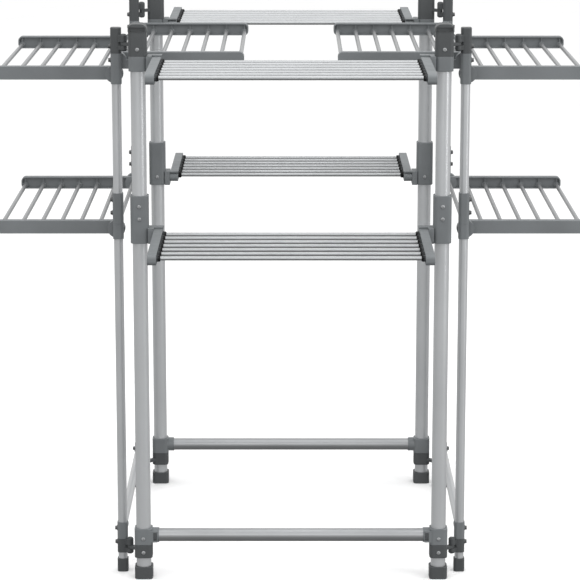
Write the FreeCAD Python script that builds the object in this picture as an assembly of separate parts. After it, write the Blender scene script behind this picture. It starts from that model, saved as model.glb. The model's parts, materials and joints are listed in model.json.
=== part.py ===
import FreeCAD, Part
import os

# Two-tier folding clothes drying rack. Millimetres, +Z up, origin on the floor at the middle of the rack.
# X runs along the rods of the shelves, and the front of the rack faces -Y.
# Every moulding is drawn once, for the corner where X and Y are both positive, and mirrored to the others.

V = FreeCAD.Vector

# ---- driving dimensions ----
POST_X = 283.0           # axis of a thick post, from the middle
POST_Y = 325.0           # plane of a thick frame, from the middle
POST_R = 14.0
THIN_X = 326.0           # axis of a thin post, from the middle
THIN_Y = 285.0
THIN_R = 8.75
TUBE_WALL = 1.0
SLEEVE_PLAY = 0.05       # between a tube and the moulding pushed over it
POST_BOTTOM = 3.0        # tubes stand on the floor of their foot cups
POST_TOP = 1050.0
THIN_TOP = 1048.0

RAIL_R = 12.5            # cross rail between the two thick posts of a frame
RAIL_Z = 84.5
SIDE_RAIL_R = 8.0        # rail between the two thin posts of a side
SIDE_RAIL_Z = 88.0

ROD_R = 4.0
ROD_WALL = 0.6
ROD_COUNT = 7
ROD_DEPTH = 10.0         # how far a rod goes into its end bar
PIVOT_PLAY = 0.08        # radial play of a pivot rod in its bearing
MOVING_GAP = 0.5         # side play between a moving bar and its bearing

LOWER_PIVOT_Z = 674.0    # pivot rod of the lower shelves
TIER_PITCH = 323.0
SHELF_PIVOT_OUT = 14.0   # pivot rod, outwards from the plane of the thick frame
SHELF_ROD_PITCH = 37.3
SHELF_TIP_OUT = 260.0
SHELF_TAIL_OUT = -17.0
SHELF_BAR_INNER_X = 239.5
SHELF_BAR_OUTER_X = 256.0
SHELF_BAR_H = 19.0
SHELF_BAR_DROP = 0.3     # middle of the bar below its rods
SHELF_TAIL_R = 9.2
SHELF_TIP_R = 7.5
SHELF_BAR_WALL = 2.2
SOCKET_R = 6.2           # sockets of the shelf rods, standing inwards from the bar
SOCKET_OUT = 4.5
ROOF_T = 2.6             # stop over the tail of a shelf bar
STOP_GAP = 0.3

HUB_W = 34.0             # across the mouldings on the thick posts
CAP_W = 33.8
HOOD_W = 35.4            # across the top of a post cap
HOOD_H = 15.0
SHOULDER_R = 11.0
HUB_CORNER_R = 8.0
LOWER_HUB_Z = (657.0, 747.0)
UPPER_HUB_Z = (980.0, 1008.0)
POST_CAP_Z = (1008.0, 1067.5)
RAIL_COLLAR_Z = (68.0, 100.0)
HINGE_COLLAR_Z = (42.0, 68.0)
FOOT = (34.5, 7.0, 24.0)             # width, corner radius and height

SLEEVE_W = 20.0          # across the mouldings on the thin posts
SLEEVE_CORNER_R = 6.0
THIN_CAP_Z = (1008.0, 1056.0)
UPPER_BRACKET_Z = (950.5, 1008.0)
LOWER_BRACKET_Z = (656.5, 744.0)
RAIL_BRACKET_Z = (66.0, 99.0)
THIN_COLLAR_Z = (38.5, 66.0)
THIN_FOOT = (20.8, 5.0, 26.0)

WING_Y = 250.0           # middle of a wing's end bar, from the middle of the rack
WING_BAR_T = 18.0
WING_BAR_H = 24.5
WING_BAR_WALL = 2.4
WING_TIP_R = 9.0
WING_ROD_DROP = 5.5      # rods below the middle of the bar, apart from the pivot rod
WING_ROD_PITCH = 37.5
WING_LENGTH = 233.0      # from the pivot rod to the tip of the end bar
OUTER_PIVOT_X = 330.5
INNER_PIVOT_X = 321.0
LOWER_WING_Z = 673.0
UPPER_WING_Z = 967.0
INNER_WING_Z = 994.0
LUG_R = 16.5             # bearing boss of an outer wing
INNER_LUG_R = 13.5

CORNER_X = 311.0         # vertical hinge between a side and a thick frame
CORNER_Y = 298.5
KNUCKLE_R = 6.5
TONGUE_EYE_R = 5.0
HINGE_PIN_R = 3.0
HINGE_PLAY = 0.1
TOP_KNUCKLE_Z = (1015.0, 1043.0)
BOTTOM_KNUCKLE_Z = (41.0, 69.0)
TONGUE_H = 6.0
TOP_TONGUE_Z = 1024.0    # underside of the tongue
BOTTOM_TONGUE_Z = 50.0
TONGUE_GAP = 0.4

THICK_SCREW = (3.8, 1.8)     # head radius and height
THIN_SCREW = (5.0, 4.5)
SCREW_SHANK_R = 1.8

LEFT, RIGHT = -1, 1
FRONT, REAR = -1, 1


# ---- helpers ----
def box(x, y, z):
    return Part.makeBox(x[1] - x[0], y[1] - y[0], z[1] - z[0], V(x[0], y[0], z[0]))


def cylinder(radius, start, end):
    axis = V(*end) - V(*start)
    return Part.makeCylinder(radius, axis.Length, V(*start), axis)


def upright(radius, x, y, z):
    return cylinder(radius, (x, y, z[0]), (x, y, z[1]))


def tube(radius, wall, start, end):
    return cylinder(radius, start, end).cut(cylinder(radius - wall, start, end))


def straight_edges(shape, axis):
    return [e for e in shape.Edges
            if isinstance(e.Curve, Part.Line) and abs(e.tangentAt(e.FirstParameter).dot(V(*axis))) > 0.99]


def vertical_edges(shape):
    return straight_edges(shape, (0, 0, 1))


def edges_at(shape, z):
    return [e for e in shape.Edges if abs(e.BoundBox.ZMin - z) < 1e-3 and abs(e.BoundBox.ZMax - z) < 1e-3]


def edges_along_x(shape, y):
    return [e for e in straight_edges(shape, (1, 0, 0)) if abs(e.CenterOfMass.y - y) < 1e-3]


def edges_along_y(shape, x):
    return [e for e in straight_edges(shape, (0, 1, 0)) if abs(e.CenterOfMass.x - x) < 1e-3]


def soft_block(x, y, z, corner_r, edge_r):
    """A block with rounded upright corners and softened top and bottom edges."""
    block = box(x, y, z)
    block = block.makeFillet(corner_r, vertical_edges(block))
    return block.makeFillet(edge_r, edges_at(block, z[0]) + edges_at(block, z[1]))


def centred(middle, width):
    return (middle - width / 2, middle + width / 2)


def mirrored(shape, side, end):
    """Moves a moulding from the corner at +X, +Y to another corner of the rack."""
    if side == LEFT:
        shape = shape.mirror(V(0, 0, 0), V(1, 0, 0))
    if end == FRONT:
        shape = shape.mirror(V(0, 0, 0), V(0, 1, 0))
    return shape


def screw(head, at, outwards):
    """A screw head standing on a face, with the short shank that holds it in the wall behind."""
    radius, height = head
    out = V(*outwards)
    face = V(*at)
    top = Part.makeCylinder(radius, height, face, out)
    rim = [e for e in top.Edges if abs((e.CenterOfMass - face).dot(out) - height) < 1e-3]
    return top.makeFillet(min(height, radius) * 0.45, rim).fuse(
        Part.makeCylinder(SCREW_SHANK_R, 1.0, face - out, out))


def screw_hole(at, outwards, depth):
    out = V(*outwards)
    return Part.makeCylinder(SCREW_SHANK_R + SLEEVE_PLAY, depth + 1, V(*at) - out * depth, out)


def write(name, shape):
    shape.exportStep("parts/" + name + ".step")


# ---- thick frames: mouldings on the posts ----
HUB_X = centred(POST_X, HUB_W)
HUB_Y = centred(POST_Y, HUB_W)
FACE_Y = POST_Y + HUB_W / 2          # outward face of a hub
INNER_FACE_Y = POST_Y - HUB_W / 2
BEARING_X = SHELF_BAR_OUTER_X + MOVING_GAP


def post_bore(z):
    return upright(POST_R + SLEEVE_PLAY, POST_X, POST_Y, (z[0] - 1, z[1] + 1))


def shelf_hub(body_z, pivot_z, arm_under_cap, outer_screws):
    """A sleeve on a thick post, with the bearing of the shelf's pivot rod and the stop over its tail."""
    bar_top = pivot_z - SHELF_BAR_DROP + SHELF_BAR_H / 2
    roof_z = (bar_top + STOP_GAP, bar_top + STOP_GAP + ROOF_T)
    arm_end = HUB_X[0] + 1.0
    arm_y = (POST_Y + SHELF_TAIL_OUT, POST_Y + SHELF_PIVOT_OUT + 8.0)
    roof_y = (arm_y[0], POST_Y + SHELF_PIVOT_OUT - SHELF_BAR_H / 2)
    cheek_x = (BEARING_X, arm_end)
    cheek = box(cheek_x, arm_y, (body_z[0], min(roof_z[1], body_z[1])))
    cheek = cheek.makeFillet(5.0, [e for e in edges_along_x(cheek, arm_y[1]) if e.CenterOfMass.z < pivot_z])
    roof = box((SHELF_BAR_INNER_X - 1.0, HUB_X[0] - 0.8), roof_y, roof_z)
    body = soft_block(HUB_X, HUB_Y, body_z, HUB_CORNER_R, 1.2)
    if arm_under_cap:
        riser = box((BEARING_X, HUB_X[0] - 0.8), arm_y, (body_z[1] - 4.0, roof_z[1]))
        cheek = cheek.fuse(riser)
    hub = body.fuse([cheek, roof]).cut(post_bore(body_z)).removeSplitter()
    bearing = cylinder(ROD_R + PIVOT_PLAY, (BEARING_X - 1, POST_Y + SHELF_PIVOT_OUT, pivot_z),
                       (BEARING_X + 8.0, POST_Y + SHELF_PIVOT_OUT, pivot_z))
    hub = hub.cut(bearing)
    for z in outer_screws:
        hub = hub.cut(screw_hole((POST_X, FACE_Y, z), (0, 1, 0), 1.2))
    return hub.cut(screw_hole((POST_X, INNER_FACE_Y, pivot_z), (0, -1, 0), 1.2))


LOWER_HUB_SCREWS = (LOWER_HUB_Z[1] - 20.0, LOWER_HUB_Z[1] - 43.5)
CAP_SCREW_Z = POST_CAP_Z[0] + 12.5
COLLAR_SCREW_Z = RAIL_COLLAR_Z[0] + 12.5
HINGE_SCREW_Z = HINGE_COLLAR_Z[0] + 11.0


def tongue(z):
    """The flat tongue of a corner hinge, reaching from a thick post's moulding to the hinge's axis."""
    eye = upright(TONGUE_EYE_R, CORNER_X, CORNER_Y, (z, z + TONGUE_H))
    root = V(POST_X + 11.0, POST_Y - 11.0, z)
    tip = V(CORNER_X, CORNER_Y, z)
    along = (tip - root).normalize()
    across = V(-along.y, along.x, 0) * 4.5
    outline = Part.makePolygon([root + across, tip + across, tip - across, root - across, root + across])
    return Part.Face(outline).extrude(V(0, 0, TONGUE_H)).fuse(eye)


def tongue_bore(z):
    return upright(HINGE_PIN_R + HINGE_PLAY, CORNER_X, CORNER_Y, (z - 1, z + TONGUE_H + 1))


def post_cap():
    """The dark head of a thick post: a hooded cap with two grip slots and the top hinge's tongue."""
    body = box(centred(POST_X, CAP_W), centred(POST_Y, CAP_W), (POST_CAP_Z[0], POST_CAP_Z[1] - HOOD_H + 1.0))
    body = body.makeFillet(HUB_CORNER_R - 0.8, vertical_edges(body))
    hood_x = centred(POST_X, HOOD_W)
    hood_y = centred(POST_Y, HOOD_W)
    hood_z = (POST_CAP_Z[1] - HOOD_H, POST_CAP_Z[1])
    shoulders = box(hood_x, hood_y, hood_z)
    crown = [e for x in hood_x for e in edges_along_y(shoulders, x) if e.CenterOfMass.z > hood_z[0] + 1]
    shoulders = shoulders.makeFillet(SHOULDER_R, crown)
    column = box(hood_x, hood_y, hood_z)
    hood = shoulders.common(column.makeFillet(HUB_CORNER_R, vertical_edges(column)))
    block = body.fuse(hood)
    slot_z = (hood_z[0] + 1.0, hood_z[0] + 9.0)
    slot_depth = 5.5
    for y in ((hood_y[1] - slot_depth, hood_y[1] + 1), (hood_y[0] - 1, hood_y[0] + slot_depth)):
        block = block.cut(box(centred(POST_X, 29.0), y, slot_z))
    block = block.fuse(tongue(TOP_TONGUE_Z))
    hollow = upright(POST_R + SLEEVE_PLAY, POST_X, POST_Y, (POST_CAP_Z[0] - 1, POST_TOP + 1))
    block = block.cut(hollow).cut(tongue_bore(TOP_TONGUE_Z))
    return block.cut(screw_hole((POST_X, POST_Y + CAP_W / 2, CAP_SCREW_Z), (0, 1, 0), 1.5))


def rail_collar():
    """The T piece that holds the end of the cross rail, with the recess of its lock on the outward face."""
    socket_x = HUB_X[0] - 12.5
    body = soft_block(HUB_X, HUB_Y, RAIL_COLLAR_Z, HUB_CORNER_R, 1.2)
    socket = cylinder(RAIL_R + 1.8, (socket_x, POST_Y, RAIL_Z), (POST_X - 12, POST_Y, RAIL_Z))
    block = box((socket_x + 2.5, HUB_X[0] + 4), (POST_Y - 11, POST_Y + 15.6), (RAIL_Z - 11, RAIL_Z + 11))
    collar = body.fuse([socket, block]).cut(post_bore(RAIL_COLLAR_Z))
    bore = cylinder(RAIL_R + SLEEVE_PLAY, (socket_x - 1, POST_Y, RAIL_Z), (HUB_X[0] + 1, POST_Y, RAIL_Z))
    recess = box((socket_x + 3.6, socket_x + 10.4), (POST_Y + 13.4, POST_Y + 17), (RAIL_Z - 8, RAIL_Z + 8))
    collar = collar.cut(bore).cut(recess)
    return collar.cut(screw_hole((POST_X, FACE_Y, COLLAR_SCREW_Z), (0, 1, 0), 1.2))


def hinge_collar():
    """The dark collar under the T piece, with the tongue of the bottom hinge."""
    body = soft_block(HUB_X, HUB_Y, HINGE_COLLAR_Z, HUB_CORNER_R, 1.2)
    body = body.fuse(tongue(BOTTOM_TONGUE_Z)).cut(post_bore(HINGE_COLLAR_Z)).cut(tongue_bore(BOTTOM_TONGUE_Z))
    return body.cut(screw_hole((POST_X, FACE_Y, HINGE_SCREW_Z), (0, 1, 0), 1.2))


def foot(x, y, size, post_r):
    """A square cup with rounded corners that closes the bottom of a tube."""
    width, corner_r, height = size
    cup = soft_block(centred(x, width), centred(y, width), (0.0, height), corner_r, 1.0)
    return cup.cut(Part.makeCylinder(post_r + SLEEVE_PLAY, height, V(x, y, POST_BOTTOM)))


def frame_screws():
    outer = [(FACE_Y, z) for z in LOWER_HUB_SCREWS + (COLLAR_SCREW_Z, HINGE_SCREW_Z)]
    outer.append((POST_Y + CAP_W / 2, CAP_SCREW_Z))
    heads = [screw(THICK_SCREW, (POST_X, y, z), (0, 1, 0)) for y, z in outer]
    for tier in (0, 1):
        z = LOWER_PIVOT_Z + tier * TIER_PITCH
        heads.append(screw(THICK_SCREW, (POST_X, INNER_FACE_Y, z), (0, -1, 0)))
    return heads


# ---- side frames: mouldings on the thin posts ----
SLEEVE_X = centred(THIN_X, SLEEVE_W)
SLEEVE_Y = centred(THIN_Y, SLEEVE_W)
SLEEVE_WALL = SLEEVE_W / 2 - THIN_R - SLEEVE_PLAY
LUG_Y = (WING_Y + WING_BAR_T / 2 + MOVING_GAP, SLEEVE_Y[0] + 2.0)
BRACKET_SCREWS = (LOWER_BRACKET_Z[1] - 13.0, LOWER_BRACKET_Z[1] - 38.0)
INNER_WING_SCREW_Z = INNER_WING_Z + 1.0
THIN_CAP_SCREW_Z = THIN_CAP_Z[0] + 12.5
RAIL_BRACKET_SCREW_Z = RAIL_BRACKET_Z[1] - 13.0
THIN_COLLAR_SCREW_Z = THIN_COLLAR_Z[0] + 20.0


def sleeve(z, edge_r=0.5):
    return soft_block(SLEEVE_X, SLEEVE_Y, z, SLEEVE_CORNER_R, edge_r)


def thin_bore(z):
    return upright(THIN_R + SLEEVE_PLAY, THIN_X, THIN_Y, (z[0] - 1, z[1] + 1))


def side_screw_holes(shape, heights):
    for z in heights:
        shape = shape.cut(screw_hole((SLEEVE_X[1], THIN_Y, z), (1, 0, 0), SLEEVE_WALL + 1.5))
    return shape


def knuckle(z, tongue_z, neck_z):
    """The forked eye of a corner hinge with its moulded pin, joined to the thin post's sleeve by a neck."""
    eye = upright(KNUCKLE_R, CORNER_X, CORNER_Y, z)
    eye = eye.makeFillet(1.0, edges_at(eye, z[0]) + edges_at(eye, z[1]))
    neck = box((CORNER_X, SLEEVE_X[0] + 5), (SLEEVE_Y[1] - 8.0, CORNER_Y + 2.0), neck_z)
    slot_z = (tongue_z - TONGUE_GAP, tongue_z + TONGUE_H + TONGUE_GAP)
    slot = box((CORNER_X - 9, SLEEVE_X[0] + 6), (SLEEVE_Y[0], CORNER_Y + 9), slot_z)
    pin = upright(HINGE_PIN_R, CORNER_X, CORNER_Y, (slot_z[0] - 1, slot_z[1] + 1))
    return eye.fuse(neck).cut(slot).fuse(pin)


def thin_cap():
    body = box(SLEEVE_X, SLEEVE_Y, THIN_CAP_Z)
    body = body.makeFillet(SLEEVE_CORNER_R, vertical_edges(body))
    body = body.makeFillet(1.5, edges_at(body, THIN_CAP_Z[1]))
    body = body.fuse(knuckle(TOP_KNUCKLE_Z, TOP_TONGUE_Z, TOP_KNUCKLE_Z))
    hollow = upright(THIN_R + SLEEVE_PLAY, THIN_X, THIN_Y, (THIN_CAP_Z[0] - 1, THIN_TOP + 0.5))
    return side_screw_holes(body.cut(hollow), (THIN_CAP_SCREW_Z,))


def thin_hinge_collar():
    neck_z = (BOTTOM_KNUCKLE_Z[0], THIN_COLLAR_Z[1] - 0.3)
    body = sleeve(THIN_COLLAR_Z).fuse(knuckle(BOTTOM_KNUCKLE_Z, BOTTOM_TONGUE_Z, neck_z))
    return side_screw_holes(body.cut(thin_bore(THIN_COLLAR_Z)), (THIN_COLLAR_SCREW_Z,))


def lug(x, z, radius):
    """The bearing boss of a wing's pivot rod, standing inwards from the sleeve."""
    return cylinder(radius, (x, LUG_Y[0], z), (x, LUG_Y[1], z))


def bearing(x, z):
    return cylinder(ROD_R + PIVOT_PLAY, (x, LUG_Y[0] - 1, z), (x, LUG_Y[0] + 11, z))


def upper_bracket():
    """Sleeve with two bearings: the outer wing's below, the inner wing's above with the ledge under it."""
    ledge_top = INNER_WING_Z - WING_BAR_H / 2 - STOP_GAP
    ledge_z = (ledge_top - 4.0, ledge_top)
    parts = [box(SLEEVE_X, LUG_Y, (UPPER_WING_Z, INNER_WING_Z)),
             box((296.0, 312.0), (WING_Y - WING_BAR_T / 2 + 2.0, LUG_Y[1]), ledge_z),
             box((296.0, SLEEVE_X[0] + 2), (LUG_Y[0] + 1.0, LUG_Y[1]), (ledge_z[0], INNER_WING_Z)),
             lug(OUTER_PIVOT_X, UPPER_WING_Z, LUG_R),
             lug(INNER_PIVOT_X, INNER_WING_Z, INNER_LUG_R)]
    body = sleeve(UPPER_BRACKET_Z).fuse(parts)
    body = body.cut(thin_bore(UPPER_BRACKET_Z)).cut(bearing(OUTER_PIVOT_X, UPPER_WING_Z))
    body = body.cut(bearing(INNER_PIVOT_X, INNER_WING_Z)).removeSplitter()
    return side_screw_holes(body, (INNER_WING_SCREW_Z,))


def lower_bracket():
    """Sleeve with the bearing of the lower wing; a groove marks off its thicker foot."""
    band_z = (LOWER_BRACKET_Z[0] + 28.0, LOWER_BRACKET_Z[0] + 28.8)
    groove_depth = 0.4
    band = box((SLEEVE_X[0] - 1, SLEEVE_X[1] + 1), (SLEEVE_Y[0], SLEEVE_Y[1] + 1), band_z)
    kept_x = (SLEEVE_X[0] + groove_depth, SLEEVE_X[1] - groove_depth)
    kept = box(kept_x, (SLEEVE_Y[0] - 1, SLEEVE_Y[1] - groove_depth), band_z)
    kept = kept.makeFillet(SLEEVE_CORNER_R - groove_depth, vertical_edges(kept))
    body = sleeve(LOWER_BRACKET_Z).cut(band.cut(kept)).fuse(lug(OUTER_PIVOT_X, LOWER_WING_Z, LUG_R))
    body = body.cut(thin_bore(LOWER_BRACKET_Z)).cut(bearing(OUTER_PIVOT_X, LOWER_WING_Z)).removeSplitter()
    return side_screw_holes(body, BRACKET_SCREWS)


def rail_bracket():
    """Sleeve with the socket of the side rail."""
    socket_y = (SLEEVE_Y[0] - 13.0, SLEEVE_Y[0] + 3.0)
    socket = cylinder(SIDE_RAIL_R + 2.2, (THIN_X, socket_y[0], SIDE_RAIL_Z),
                      (THIN_X, socket_y[1], SIDE_RAIL_Z))
    rail = cylinder(SIDE_RAIL_R + SLEEVE_PLAY, (THIN_X, socket_y[0] - 1, SIDE_RAIL_Z),
                    (THIN_X, SLEEVE_Y[0], SIDE_RAIL_Z))
    body = sleeve(RAIL_BRACKET_Z).fuse(socket).cut(thin_bore(RAIL_BRACKET_Z)).cut(rail)
    return side_screw_holes(body, (RAIL_BRACKET_SCREW_Z,))


def side_screws():
    heights = BRACKET_SCREWS + (INNER_WING_SCREW_Z, THIN_CAP_SCREW_Z)
    heights += (RAIL_BRACKET_SCREW_Z, THIN_COLLAR_SCREW_Z)
    return [screw(THIN_SCREW, (SLEEVE_X[1], THIN_Y, z), (1, 0, 0)) for z in heights]


# ---- panels ----
def shelf_bar(pivot_z):
    """The right-hand end bar of a rear shelf, a channel open towards the rods, with a socket for each rod."""
    middle_z = pivot_z - SHELF_BAR_DROP
    span = (POST_Y + SHELF_TAIL_OUT, POST_Y + SHELF_TIP_OUT)
    x = (SHELF_BAR_INNER_X, SHELF_BAR_OUTER_X)
    bar = box(x, span, centred(middle_z, SHELF_BAR_H))
    bar = bar.makeFillet(SHELF_TAIL_R, edges_along_x(bar, span[0]))
    bar = bar.makeFillet(SHELF_TIP_R, edges_along_x(bar, span[1]))
    inside = (span[0] + 34.0, span[1] - SHELF_BAR_WALL)
    channel = box((x[0] - 1, x[0] + 6.0), inside, centred(middle_z, SHELF_BAR_H - 2 * SHELF_BAR_WALL))
    channel = channel.makeFillet(SHELF_TIP_R - SHELF_BAR_WALL, edges_along_x(channel, inside[1]))
    rods = shelf_rod_places(pivot_z)
    sockets = [cylinder(SOCKET_R, (x[0] - SOCKET_OUT, y, z), (x[0] + 6.5, y, z)) for y, z in rods]
    bar = bar.cut(channel).fuse(sockets)
    end = x[0] + ROD_DEPTH
    holes = [cylinder(ROD_R + SLEEVE_PLAY, (x[0] - SOCKET_OUT - 1, y, z), (end, y, z)) for y, z in rods[1:]]
    y, z = rods[0]
    holes.append(cylinder(ROD_R + SLEEVE_PLAY, (x[0] - SOCKET_OUT - 1, y, z), (x[1] + 1, y, z)))
    return bar.cut(holes)


def shelf_rod_places(pivot_z):
    return [(POST_Y + SHELF_PIVOT_OUT + i * SHELF_ROD_PITCH, pivot_z) for i in range(ROD_COUNT)]


def shelf_rods(pivot_z):
    """The rods of a rear shelf; the first is the pivot and reaches into the hubs."""
    rods = []
    for i, (y, z) in enumerate(shelf_rod_places(pivot_z)):
        end = BEARING_X + 7.5 if i == 0 else SHELF_BAR_INNER_X + ROD_DEPTH - 0.5
        rods.append(tube(ROD_R, ROD_WALL, (-end, y, z), (end, y, z)))
    return rods


def wing_rod_places(pivot_x, pivot_z, direction):
    """The pivot rod, then the rods that lie lower in the bar."""
    rods = [(pivot_x + direction * i * WING_ROD_PITCH, pivot_z - WING_ROD_DROP) for i in range(1, ROD_COUNT)]
    return [(pivot_x, pivot_z)] + rods


def wing_slab(pivot_x, pivot_z, direction, y, inset):
    """The outline of a wing's end bar, drawn in by the inset: square at the pivot, rounded at the tip."""
    tip = pivot_x + direction * (WING_LENGTH - inset)
    x = (min(pivot_x, tip), max(pivot_x, tip))
    slab = box(x, y, centred(pivot_z, WING_BAR_H - 2 * inset))
    return slab.makeFillet(WING_TIP_R - inset, edges_along_y(slab, tip))


def wing_bar(pivot_x, pivot_z, direction):
    """The rear end bar of a right-hand wing; direction is 1 outwards and -1 towards the middle."""
    y = centred(WING_Y, WING_BAR_T)
    half = WING_BAR_H / 2
    floor_y = y[0] + 7.0
    head = cylinder(half, (pivot_x, y[0], pivot_z), (pivot_x, y[1], pivot_z))
    channel = wing_slab(pivot_x, pivot_z, direction, (y[0] - 1, floor_y), WING_BAR_WALL)
    boss = cylinder(half + 4.0, (pivot_x, y[0] - 1, pivot_z), (pivot_x, floor_y, pivot_z))
    bar = wing_slab(pivot_x, pivot_z, direction, y, 0.0).fuse(head).cut(channel.cut(boss))
    places = wing_rod_places(pivot_x, pivot_z, direction)
    inner_z = centred(pivot_z, WING_BAR_H - WING_BAR_WALL)
    ribs = [box(centred(x, 1.8), (y[0] + 2.0, floor_y + 0.5), inner_z) for x, _ in places[1:]]
    seats = [cylinder(ROD_R + 2.2, (x, y[0] + 1.5, z), (x, floor_y + 0.5, z)) for x, z in places[1:]]
    bar = bar.fuse(ribs + seats).removeSplitter()
    holes = [cylinder(ROD_R + SLEEVE_PLAY, (x, y[0] - 1, z), (x, y[0] + ROD_DEPTH, z)) for x, z in places[1:]]
    holes.append(cylinder(ROD_R + SLEEVE_PLAY, (pivot_x, y[0] - 1, pivot_z), (pivot_x, y[1] + 1, pivot_z)))
    return bar.cut(holes)


def wing_rods(pivot_x, pivot_z, direction):
    rods = []
    for i, (x, z) in enumerate(wing_rod_places(pivot_x, pivot_z, direction)):
        end = LUG_Y[0] + 10.5 if i == 0 else WING_Y - WING_BAR_T / 2 + ROD_DEPTH - 0.5
        rods.append(tube(ROD_R, ROD_WALL, (x, -end, z), (x, end, z)))
    return rods


# ---- the rack ----
def thick_frame(name, end):
    """One thick frame with its two shelves."""
    def both(master):
        return Part.makeCompound([mirrored(master, LEFT, end), mirrored(master, RIGHT, end)])

    post = tube(POST_R, TUBE_WALL, (POST_X, POST_Y, POST_BOTTOM), (POST_X, POST_Y, POST_TOP))
    write(name + "_left_post", mirrored(post, LEFT, end))
    write(name + "_right_post", mirrored(post, RIGHT, end))
    rail_end = HUB_X[0] + 0.5
    rail = tube(RAIL_R, TUBE_WALL, (-rail_end, POST_Y, RAIL_Z), (rail_end, POST_Y, RAIL_Z))
    write(name + "_rail", mirrored(rail, RIGHT, end))
    upper_pivot_z = LOWER_PIVOT_Z + TIER_PITCH
    write(name + "_lower_hubs", both(shelf_hub(LOWER_HUB_Z, LOWER_PIVOT_Z, False, LOWER_HUB_SCREWS)))
    write(name + "_upper_hubs", both(shelf_hub(UPPER_HUB_Z, upper_pivot_z, True, ())))
    write(name + "_post_caps", both(post_cap()))
    write(name + "_rail_collars", both(rail_collar()))
    write(name + "_hinge_collars", both(hinge_collar()))
    write(name + "_feet", both(foot(POST_X, POST_Y, FOOT, POST_R)))
    screws = [mirrored(s, side, end) for s in frame_screws() for side in (LEFT, RIGHT)]
    write(name + "_screws", Part.makeCompound(screws))
    for tier, pivot_z in (("lower", LOWER_PIVOT_Z), ("upper", upper_pivot_z)):
        write(name + "_" + tier + "_shelf_bars", both(shelf_bar(pivot_z)))
        rods = [mirrored(rod, RIGHT, end) for rod in shelf_rods(pivot_z)]
        write(name + "_" + tier + "_shelf_rods", Part.makeCompound(rods))


def side_frame(name, side):
    """One side: two thin posts, their rail and the wings."""
    def both(master):
        return Part.makeCompound([mirrored(master, side, FRONT), mirrored(master, side, REAR)])

    post = tube(THIN_R, TUBE_WALL, (THIN_X, THIN_Y, POST_BOTTOM), (THIN_X, THIN_Y, THIN_TOP))
    write(name + "_front_thin_post", mirrored(post, side, FRONT))
    write(name + "_rear_thin_post", mirrored(post, side, REAR))
    rail_end = SLEEVE_Y[0] - 0.5
    rail = tube(SIDE_RAIL_R, TUBE_WALL, (THIN_X, -rail_end, SIDE_RAIL_Z), (THIN_X, rail_end, SIDE_RAIL_Z))
    write(name + "_side_rail", mirrored(rail, side, REAR))
    write(name + "_thin_post_caps", both(thin_cap()))
    write(name + "_upper_wing_brackets", both(upper_bracket()))
    write(name + "_lower_wing_brackets", both(lower_bracket()))
    write(name + "_rail_brackets", both(rail_bracket()))
    write(name + "_hinge_collars", both(thin_hinge_collar()))
    write(name + "_thin_feet", both(foot(THIN_X, THIN_Y, THIN_FOOT, THIN_R)))
    screws = [mirrored(s, side, end) for s in side_screws() for end in (FRONT, REAR)]
    write(name + "_side_screws", Part.makeCompound(screws))
    wings = (("upper_outer", OUTER_PIVOT_X, UPPER_WING_Z, 1), ("lower_outer", OUTER_PIVOT_X, LOWER_WING_Z, 1),
             ("inner", INNER_PIVOT_X, INNER_WING_Z, -1))
    for wing, pivot_x, pivot_z, direction in wings:
        write(name + "_" + wing + "_wing_bars", both(wing_bar(pivot_x, pivot_z, direction)))
        rods = [mirrored(rod, side, REAR) for rod in wing_rods(pivot_x, pivot_z, direction)]
        write(name + "_" + wing + "_wing_rods", Part.makeCompound(rods))


os.makedirs("parts", exist_ok=True)
thick_frame("front", FRONT)
thick_frame("rear", REAR)
side_frame("left", LEFT)
side_frame("right", RIGHT)
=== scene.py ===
import json
import math
import bmesh
import bpy
from mathutils import Matrix, Vector


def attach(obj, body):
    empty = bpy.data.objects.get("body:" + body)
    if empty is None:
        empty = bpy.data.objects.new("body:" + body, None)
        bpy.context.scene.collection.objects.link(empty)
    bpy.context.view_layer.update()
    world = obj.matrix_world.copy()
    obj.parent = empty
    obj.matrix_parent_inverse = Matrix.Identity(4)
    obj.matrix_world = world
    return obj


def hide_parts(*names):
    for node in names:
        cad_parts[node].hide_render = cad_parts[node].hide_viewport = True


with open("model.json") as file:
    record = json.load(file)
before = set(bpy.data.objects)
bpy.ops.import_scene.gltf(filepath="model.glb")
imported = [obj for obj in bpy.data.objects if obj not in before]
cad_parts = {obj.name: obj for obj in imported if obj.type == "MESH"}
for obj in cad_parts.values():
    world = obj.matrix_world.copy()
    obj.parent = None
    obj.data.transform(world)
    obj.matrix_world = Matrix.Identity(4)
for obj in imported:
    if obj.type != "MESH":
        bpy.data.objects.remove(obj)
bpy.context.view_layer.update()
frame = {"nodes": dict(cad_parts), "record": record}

# The looks of a two-tier clothes drying rack: a material for every node, detailed screws in place of the
# plain ones, the lips of the shelf sockets, the locks in the rail collars and the heads of the corner
# hinges' pins. The front of the rack faces -Y.
NODES = frame["nodes"]
BODIES = frame["record"]["behaviour"]["bodies"]
BODY_OF = {node: body for body, nodes in BODIES.items() for node in nodes}
MM = 0.001
X_AXIS, Y_AXIS, Z_AXIS = 0, 1, 2


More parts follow.
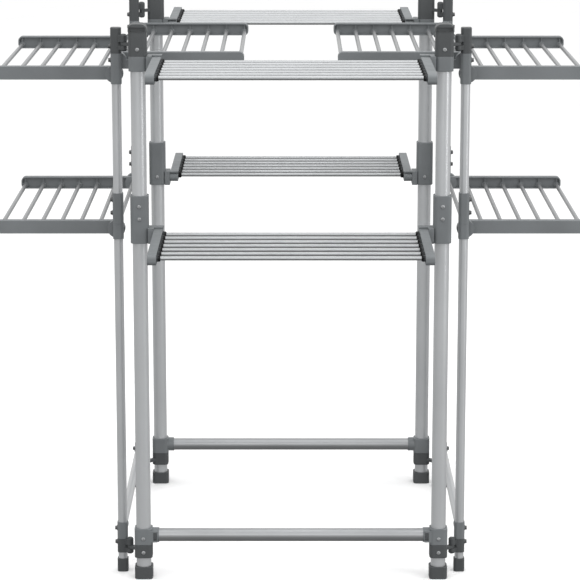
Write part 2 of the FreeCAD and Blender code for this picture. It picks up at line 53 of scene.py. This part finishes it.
# ---- materials ----
class ShaderNodes:
    """Makes the shader nodes of one material and links them."""

    def __init__(self, name):
        self.material = bpy.data.materials.new(name)
        self.material.use_nodes = True
        self.tree = self.material.node_tree
        self.shader = self.tree.nodes["Principled BSDF"]
        coordinates = self.tree.nodes.new("ShaderNodeTexCoord")
        self.place = coordinates.outputs["Object"]

    def new(self, kind, **settings):
        node = self.tree.nodes.new(kind)
        for key, value in settings.items():
            setattr(node, key, value)
        return node

    def link(self, source, target):
        self.tree.links.new(source, target)

    def noise(self, scale, detail, stretch=(1, 1, 1)):
        mapping = self.new("ShaderNodeMapping")
        mapping.inputs["Scale"].default_value = stretch
        self.link(self.place, mapping.inputs["Vector"])
        noise = self.new("ShaderNodeTexNoise")
        noise.inputs["Scale"].default_value = scale
        noise.inputs["Detail"].default_value = detail
        self.link(mapping.outputs["Vector"], noise.inputs["Vector"])
        return noise.outputs["Fac"]

    def spread(self, value, low, high, from_low=0.3, from_high=0.7):
        """The value's range, by default the middle of a noise, spread over low to high."""
        ranged = self.new("ShaderNodeMapRange")
        ranged.inputs["From Min"].default_value = from_low
        ranged.inputs["From Max"].default_value = from_high
        ranged.inputs["To Min"].default_value = low
        ranged.inputs["To Max"].default_value = high
        self.link(value, ranged.inputs["Value"])
        return ranged.outputs["Result"]

    def mix(self, factor, low, high):
        """The colour low where the factor is 0 and high where it is 1."""
        mix = self.new("ShaderNodeMix", data_type="RGBA")
        for name, value in (("Factor", factor), ("A", low), ("B", high)):
            if isinstance(value, bpy.types.NodeSocket):
                self.link(value, mix.inputs[name])
            else:
                mix.inputs[name].default_value = value
        return mix.outputs["Result"]

    def rounded_normal(self, radius):
        """The surface normal with every sharp edge softened over the radius."""
        bevel = self.new("ShaderNodeBevel", samples=6)
        bevel.inputs["Radius"].default_value = radius
        return bevel.outputs["Normal"]

    def edge_highlight_mask(self, radius, low, high):
        """Near 1 along the edges of the mesh and 0 on its flats: the mask of a painted edge highlight."""
        geometry = self.new("ShaderNodeNewGeometry")
        dot = self.new("ShaderNodeVectorMath", operation="DOT_PRODUCT")
        self.link(self.rounded_normal(radius), dot.inputs[0])
        self.link(geometry.outputs["Normal"], dot.inputs[1])
        return self.spread(dot.outputs["Value"], 1.0, 0.0, low, high)

    def bump(self, height, distance, strength, below=None):
        bump = self.new("ShaderNodeBump")
        bump.inputs["Distance"].default_value = distance
        bump.inputs["Strength"].default_value = strength
        self.link(height, bump.inputs["Height"])
        if below is not None:
            self.link(below, bump.inputs["Normal"])
        return bump.outputs["Normal"]


WHITE = (1.0, 1.0, 1.0)
PLASTIC_TINT = (0.93, 1.0, 1.04)
STEEL_TINT = (0.975, 1.0, 1.02)
MOULDED_EDGE_R = 0.5 * MM
# width of the painted edge highlight on the plastics
EDGE_HIGHLIGHT_R = 0.8 * MM
SCREW_EDGE_R = 0.4 * MM
LINE_STRETCH = 0.02            # scale of the draw lines along a tube, against 1 across it


def tinted(grey, tint, gain=1.0):
    return (grey * tint[0] * gain, grey * tint[1] * gain, grey * tint[2] * gain, 1.0)


def moulded_plastic(name, grey, roughness, gloss=0.45):
    """Matte moulded plastic: spark-eroded grain, faint flow clouds, and a painted highlight that makes
    every edge paler.
    """
    n = ShaderNodes(name)
    flow = n.spread(n.noise(14.0, 4.0), 0.0, 1.0)
    clouded = n.mix(flow, tinted(grey, PLASTIC_TINT, 0.92), tinted(grey, PLASTIC_TINT, 1.08))
    # painted highlight: every edge of the plastic is painted 1.3 times paler than its flats
    edges = n.edge_highlight_mask(EDGE_HIGHLIGHT_R, 0.75, 0.98)
    n.link(n.mix(edges, clouded, tinted(grey, PLASTIC_TINT, 1.3)), n.shader.inputs["Base Color"])
    dull_spots = n.spread(n.noise(60.0, 3.0), roughness - 0.05, roughness + 0.05)
    n.link(dull_spots, n.shader.inputs["Roughness"])
    grain = n.bump(n.noise(1500.0, 3.0), 0.1 * MM, 0.5, n.rounded_normal(MOULDED_EDGE_R))
    n.link(grain, n.shader.inputs["Normal"])
    n.shader.inputs["Specular IOR Level"].default_value = gloss
    return n.material


def coated_steel(name, grey, along, roughness, metallic):
    """Silver-grey lacquered tube: draw lines along its axis, slow changes of tone, faint orange peel."""
    n = ShaderNodes(name)
    stretch = [1.0, 1.0, 1.0]
    stretch[along] = LINE_STRETCH
    lines = n.noise(500.0, 2.0, stretch)
    cloud = n.spread(n.noise(9.0, 4.0), 0.0, 1.0)
    base = n.mix(cloud, tinted(grey, STEEL_TINT, 0.96), tinted(grey, STEEL_TINT, 1.04))
    n.link(base, n.shader.inputs["Base Color"])
    n.shader.inputs["Metallic"].default_value = metallic
    n.link(n.spread(lines, roughness - 0.015, roughness + 0.015), n.shader.inputs["Roughness"])
    peel = n.bump(n.noise(260.0, 2.0), 0.05 * MM, 0.12)
    n.link(n.bump(lines, 0.02 * MM, 0.05, peel), n.shader.inputs["Normal"])
    n.shader.inputs["Coat Weight"].default_value = 0.25
    n.shader.inputs["Coat Roughness"].default_value = 0.2
    return n.material


def zinc_screw(name, grey):
    """Dull zinc plate: mottled tone, fine scratches, and a painted highlight that makes the edges bright.
    """
    n = ShaderNodes(name)
    mottle = n.spread(n.noise(300.0, 3.0), 0.0, 1.0)
    tone = n.mix(mottle, tinted(grey, STEEL_TINT, 0.8), tinted(grey, STEEL_TINT, 1.1))
    # painted highlight: the edges of the screw head are painted 1.6 times brighter
    edges = n.edge_highlight_mask(SCREW_EDGE_R, 0.7, 0.97)
    n.link(n.mix(edges, tone, tinted(grey, STEEL_TINT, 1.6)), n.shader.inputs["Base Color"])
    n.shader.inputs["Metallic"].default_value = 0.7
    n.link(n.spread(n.noise(900.0, 2.0), 0.36, 0.5), n.shader.inputs["Roughness"])
    n.link(n.bump(n.noise(1800.0, 2.0), 0.05 * MM, 0.4), n.shader.inputs["Normal"])
    return n.material


MATERIALS = {
    "post": coated_steel("post_lacquer", 0.47, Z_AXIS, 0.36, 0.5),
    "rail": coated_steel("rail_lacquer", 0.31, X_AXIS, 0.30, 0.65),
    "side_rail": coated_steel("side_rail_lacquer", 0.40, Y_AXIS, 0.36, 0.5),
    "shelf_rod": coated_steel("shelf_rod_lacquer", 0.365, X_AXIS, 0.27, 0.7),
    "wing_rod": coated_steel("wing_rod_lacquer", 0.24, Y_AXIS, 0.42, 0.5),
    "grey": moulded_plastic("grey_plastic", 0.157, 0.55),
    "dark": moulded_plastic("dark_plastic", 0.061, 0.52),
    # near-black sockets: partly the sockets' own black plastic, partly painted shade round the rod ends
    "black": moulded_plastic("socket_black_and_shade", 0.007, 0.6, 0.15),
    "screw": zinc_screw("screw_zinc", 0.34),
    "side_screw": zinc_screw("side_screw_zinc", 0.10),
}


def kind_of(node):
    """The key in MATERIALS for a CAD node other than the screws."""
    if "_wing_rods" in node:
        return "wing_rod"
    if "_shelf_rods" in node:
        return "shelf_rod"
    if node.endswith("side_rail"):
        return "side_rail"
    if node.endswith("_rail"):
        return "rail"
    if node.endswith("_post"):
        return "post"
    if "feet" in node or "caps" in node or "hinge_collars" in node:
        return "dark"
    return "grey"


CAD_SHARP_ANGLE = 32.0
PIECE_SHARP_ANGLE = 40.0


def smooth(obj, sharp_angle):
    """Smooth shading, with a sharp edge wherever two faces meet at more than the angle in degrees."""
    for polygon in obj.data.polygons:
        polygon.use_smooth = True
    obj.data.set_sharp_from_angle(angle=math.radians(sharp_angle))


def dress_cad_nodes():
    for name, obj in NODES.items():
        if not name.endswith("screws"):
            obj.data.materials.clear()
            obj.data.materials.append(MATERIALS[kind_of(name)])
            smooth(obj, CAD_SHARP_ANGLE)


SHELF_BAR_INNER_X = 239.5 * MM
ON_BAR_FACE = 0.01 * MM


def blacken_and_shade_rod_sockets():
    """The sockets stand inwards from the inner face of each shelf's end bars; their near-black colour is
    partly their own black plastic and partly painted shade of the channel round the rods.
    """
    for name, obj in NODES.items():
        if "_shelf_bars" in name:
            obj.data.materials.append(MATERIALS["black"])
            for polygon in obj.data.polygons:
                # painted shade: the socket faces take the near-black material, partly their own colour and
                # partly shade
                if abs(polygon.center.x) < SHELF_BAR_INNER_X - ON_BAR_FACE:
                    polygon.material_index = 1


# ---- shapes ----
def lathe(mesh, profile, segments, place, dip=None):
    """Turns a profile of (radius, height) points about the Z axis of place and closes both ends.

    dip(radius, angle) says how far a point is lowered."""
    rings = []
    for radius, height in profile:
        ring = []
        for i in range(segments):
            angle = math.tau * i / segments
            down = dip(radius, angle) if dip else 0.0
            point = Vector((radius * math.cos(angle), radius * math.sin(angle), height - down))
            ring.append(mesh.verts.new(place @ point))
        rings.append(ring)
    for low, high in zip(rings, rings[1:]):
        for i in range(segments):
            j = (i + 1) % segments
            mesh.faces.new((low[i], low[j], high[j], high[i]))
    mesh.faces.new(rings[0][::-1])
    down = dip(0.0, 0.0) if dip else 0.0
    middle = mesh.verts.new(place @ Vector((0, 0, profile[-1][1] - down)))
    for i in range(segments):
        mesh.faces.new((rings[-1][i], rings[-1][(i + 1) % segments], middle))


def soft_plate(mesh, size, place, radius):
    """A block with every edge rounded."""
    made = bmesh.ops.create_cube(mesh, size=1.0, matrix=place @ Matrix.Diagonal((*size, 1.0)))
    edges = list(dict.fromkeys(edge for vertex in made["verts"] for edge in vertex.link_edges))
    bmesh.ops.bevel(mesh, geom=edges, offset=radius, segments=3, profile=0.5, affect="EDGES")


def finish_piece(mesh, name, body, material):
    """Makes the mesh an object that rides on the body."""
    bmesh.ops.recalc_face_normals(mesh, faces=mesh.faces)
    data = bpy.data.meshes.new(name)
    mesh.to_mesh(data)
    mesh.free()
    piece = bpy.data.objects.new(name, data)
    bpy.context.scene.collection.objects.link(piece)
    data.materials.append(MATERIALS[material])
    smooth(piece, PIECE_SHARP_ANGLE)
    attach(piece, body)
    return piece


# ---- screws ----
SHANK_IN_WALL = 1.0 * MM
DOME_STEPS = 7
SCREW_SEGMENTS = 16
SAME_POINT = 0.001 * MM
SAME_FACE = 0.05 * MM


def islands(node):
    """The points of each separate solid of a node, in the order of the node's mesh."""
    mesh = bmesh.new()
    mesh.from_mesh(NODES[node].data)
    bmesh.ops.remove_doubles(mesh, verts=mesh.verts, dist=SAME_POINT)
    seen = set()
    found = []
    for start in mesh.verts:
        if start in seen:
            continue
        seen.add(start)
        group, waiting = [], [start]
        while waiting:
            vertex = waiting.pop()
            group.append(vertex.co.copy())
            for edge in vertex.link_edges:
                other = edge.other_vert(vertex)
                if other not in seen:
                    seen.add(other)
                    waiting.append(other)
        found.append(group)
    mesh.free()
    return found


def screw_seat(points, axis):
    """Seat, direction, radius and height of a screw head whose axis is along X or Y.

    The wider end of the solid is the outer one."""
    across = [a for a in (X_AXIS, Y_AXIS, Z_AXIS) if a != axis]
    low = Vector([min(p[a] for p in points) for a in range(3)])
    high = Vector([max(p[a] for p in points) for a in range(3)])
    middle = (low + high) / 2
    radius = (high.z - low.z) / 2

    def reach(end):
        near = [p for p in points if abs(p[axis] - end) < SAME_FACE]
        return max(math.hypot(*(p[a] - middle[a] for a in across)) for p in near)

    sign = 1 if reach(high[axis]) > reach(low[axis]) else -1
    direction = Vector((0, 0, 0))
    direction[axis] = sign
    seat = middle.copy()
    seat[axis] = (low if sign > 0 else high)[axis] + sign * SHANK_IN_WALL
    return seat, direction, radius, (high - low)[axis] - SHANK_IN_WALL


def cross_recess(head_radius, depth):
    """Four V-shaped grooves that meet in the middle and run out towards the rim."""
    def dip(radius, angle):
        on_arm = abs(math.cos(2 * angle)) > 0.99
        if radius > head_radius * 0.6 or not (on_arm or radius < head_radius * 0.12):
            return 0.0
        return depth * (1.0 - radius / head_radius)
    return dip


def dome(radius, foot, height):
    """A profile that rises straight to the foot and closes in a dome."""
    turns = [math.radians(90.0 * step / DOME_STEPS) for step in range(1, DOME_STEPS)]
    arch = [(radius * math.cos(turn), foot + (height - foot) * math.sin(turn)) for turn in turns]
    return [(radius, 0.0), (radius, foot)] + arch


def flanged_head(radius, height):
    """A tall head on its own washer."""
    neck = radius * 0.78
    return [(radius, 0.0), (radius, 0.18 * height), (radius * 0.95, 0.25 * height), (neck, 0.27 * height),
            (neck, 0.82 * height), (neck * 0.93, 0.94 * height), (neck * 0.8, height), (neck * 0.5, height),
            (neck * 0.3, height), (neck * 0.1, height)]


def detailed_screws():
    """A cross head on every screw: domed on the thick frames, flanged on the sides."""
    for node in [name for name in NODES if name.endswith("screws")]:
        on_side = node.endswith("side_screws")
        mesh = bmesh.new()
        for points in islands(node):
            seat, direction, radius, height = screw_seat(points, X_AXIS if on_side else Y_AXIS)
            place = Matrix.Translation(seat) @ direction.to_track_quat("Z", "Y").to_matrix().to_4x4()
            profile = flanged_head(radius, height) if on_side else dome(radius, 0.3 * height, height)
            lathe(mesh, profile, SCREW_SEGMENTS, place, cross_recess(radius, height * 0.5))
        material = "side_screw" if on_side else "screw"
        piece = finish_piece(mesh, node + "_cross_head", BODY_OF[node], material)
        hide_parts(node)


# ---- lips of the shelf sockets ----
SOCKET_END_X = 235.0 * MM
LIP_PROFILE = (
    (5.9 * MM, -0.3 * MM),
    (5.9 * MM, 1.2 * MM),
    (5.5 * MM, 1.8 * MM),
    (4.3 * MM, 2.3 * MM),
    (3.6 * MM, 2.3 * MM),
)
LIP_SEGMENTS = 24


def socket_lips():
    """The soft black lip round a rod where it enters each socket of a shelf's end bar; its near-black
    colour is partly its own and partly painted shade, as on the sockets.
    """
    for node in [name for name in NODES if name.endswith("_shelf_rods")]:
        mesh = bmesh.new()
        for points in islands(node):
            y = (min(p.y for p in points) + max(p.y for p in points)) / 2
            z = (min(p.z for p in points) + max(p.z for p in points)) / 2
            for side in (-1, 1):
                inwards = Vector((-side, 0, 0)).to_track_quat("Z", "Y").to_matrix().to_4x4()
                place = Matrix.Translation((side * SOCKET_END_X, y, z)) @ inwards
                lathe(mesh, LIP_PROFILE, LIP_SEGMENTS, place)
        finish_piece(mesh, node.replace("_rods", "_socket_lips"), BODY_OF[node], "black")


# ---- locks of the rail collars ----
LOCK = (6.2 * MM, 1.5 * MM, 15.0 * MM)
LOCK_EDGE_R = 0.5 * MM
LOCK_RIB = (4.2 * MM, 0.6 * MM, 1.2 * MM)
LOCK_RIB_PITCH = 3.0 * MM
LOCK_RIB_EDGE_R = 0.25 * MM
LOCK_X = 260.5 * MM
LOCK_FACE_Y = 339.9 * MM       # outward face of the lock, from the middle of the rack
RAIL_Z = 84.5 * MM


def rail_locks():
    """The dark button in the recess of each T piece, ribbed for the thumb."""
    for end, sign in (("front", -1), ("rear", 1)):
        mesh = bmesh.new()
        for side in (-1, 1):
            middle = Vector((side * LOCK_X, sign * (LOCK_FACE_Y - LOCK[1] / 2), RAIL_Z))
            soft_plate(mesh, LOCK, Matrix.Translation(middle), LOCK_EDGE_R)
            for row in (-1, 0, 1):
                rib = middle + Vector((0, sign * LOCK[1] / 2, row * LOCK_RIB_PITCH))
                soft_plate(mesh, LOCK_RIB, Matrix.Translation(rib), LOCK_RIB_EDGE_R)
        finish_piece(mesh, end + "_rail_locks", end + "_frame", "dark")


# ---- heads of the corner hinges' pins ----
CORNER = (311.0 * MM, 298.5 * MM)
PIN_HEADS = ((1043.0 * MM, 1), (1015.0 * MM, -1), (69.0 * MM, 1), (41.0 * MM, -1))      # height and way up
PIN_HEAD_R = 5.6 * MM
PIN_HEAD_FOOT = 0.5 * MM
PIN_HEAD_H = 2.6 * MM
PIN_HEAD_SEGMENTS = 32


def pin_heads():
    """A domed head on each end of every corner hinge's pin."""
    for side, sign in (("left", -1), ("right", 1)):
        mesh = bmesh.new()
        for end in (-1, 1):
            for z, up in PIN_HEADS:
                middle = (sign * CORNER[0], end * CORNER[1], z)
                place = Matrix.Translation(middle) @ Matrix.Diagonal((1, 1, up, 1))
                lathe(mesh, dome(PIN_HEAD_R, PIN_HEAD_FOOT, PIN_HEAD_H), PIN_HEAD_SEGMENTS, place)
        finish_piece(mesh, side + "_hinge_pin_heads", side + "_side", "dark")


# ---- floor, light, camera ----
FLOOR_REACH = 40.0
FLOOR_CORNERS = [(x * FLOOR_REACH, y * FLOOR_REACH, 0) for x, y in ((-1, -1), (1, -1), (1, 1), (-1, 1))]


def stage():
    """A white floor that throws no light back on the rack; the sky's dim lower half stands in for it."""
    mesh = bpy.data.meshes.new("floor")
    mesh.from_pydata(FLOOR_CORNERS, [], [(0, 1, 2, 3)])
    floor = bpy.data.objects.new("floor", mesh)
    bpy.context.scene.collection.objects.link(floor)
    n = ShaderNodes("floor_white")
    tone = n.mix(n.spread(n.noise(3.0, 3.0), 0.0, 1.0), tinted(0.965, WHITE), tinted(0.985, WHITE))
    n.link(tone, n.shader.inputs["Base Color"])
    n.shader.inputs["Roughness"].default_value = 0.9
    floor.data.materials.append(n.material)
    floor.visible_diffuse = False
    floor.visible_glossy = False


SKY_RAMP = (("From Min", -0.55), ("From Max", 0.02), ("To Min", 0.24), ("To Max", 1.02))


def studio_world():
    """A bright sky and a dim ground, so that undersides fall into shade."""
    world = bpy.data.worlds.new("studio")
    world.use_nodes = True
    tree = world.node_tree
    background = tree.nodes["Background"]
    coordinates = tree.nodes.new("ShaderNodeTexCoord")
    parts = tree.nodes.new("ShaderNodeSeparateXYZ")
    ramp = tree.nodes.new("ShaderNodeMapRange")
    tree.links.new(coordinates.outputs["Generated"], parts.inputs["Vector"])
    tree.links.new(parts.outputs["Z"], ramp.inputs["Value"])
    for name, value in SKY_RAMP:
        ramp.inputs[name].default_value = value
    background.inputs["Color"].default_value = (1.0, 1.0, 1.0, 1.0)
    tree.links.new(ramp.outputs["Result"], background.inputs["Strength"])
    bpy.context.scene.world = world


MIDDLE = Vector((0.0, 0.0, 0.55))
LIGHTS = (
    ("top_softbox", (0.0, -0.4, 3.6), (4.0, 4.0), 70.0),
    ("front_softbox", (-0.6, -4.6, 2.0), (3.0, 2.4), 30.0),
    ("right_strip", (3.4, -2.2, 1.6), (0.8, 3.2), 40.0),
)


def area_light(name, place, size, power):
    """A rectangular light that faces the middle of the rack; size in metres, power in watts."""
    data = bpy.data.lights.new(name, "AREA")
    data.shape = "RECTANGLE"
    data.size, data.size_y = size
    data.energy = power
    light = bpy.data.objects.new(name, data)
    light.location = place
    light.rotation_euler = (MIDDLE - Vector(place)).to_track_quat("-Z", "Y").to_euler()
    bpy.context.scene.collection.objects.link(light)


EYE = (0.0, -5.0404, 1.5751)
PITCH = 12.088                 # degrees below level
SENSOR_WIDTH = 36.0
FOCAL_LENGTH = 158.97
SHIFT_X = -1.0 / 580.0
FARTHEST = 200.0


def camera():
    """In front of the rack and above it, looking down at it."""
    data = bpy.data.cameras.new("camera")
    data.sensor_width = SENSOR_WIDTH
    data.lens = FOCAL_LENGTH
    data.shift_x = SHIFT_X
    data.clip_end = FARTHEST
    cam = bpy.data.objects.new("camera", data)
    cam.location = EYE
    cam.rotation_euler = (math.radians(90.0 - PITCH), 0.0, 0.0)
    bpy.context.scene.collection.objects.link(cam)
    bpy.context.scene.camera = cam
    bpy.context.scene.view_settings.view_transform = "Standard"


dress_cad_nodes()
blacken_and_shade_rod_sockets()
detailed_screws()
socket_lips()
rail_locks()
pin_heads()
stage()
studio_world()
for light in LIGHTS:
    area_light(*light)
camera()
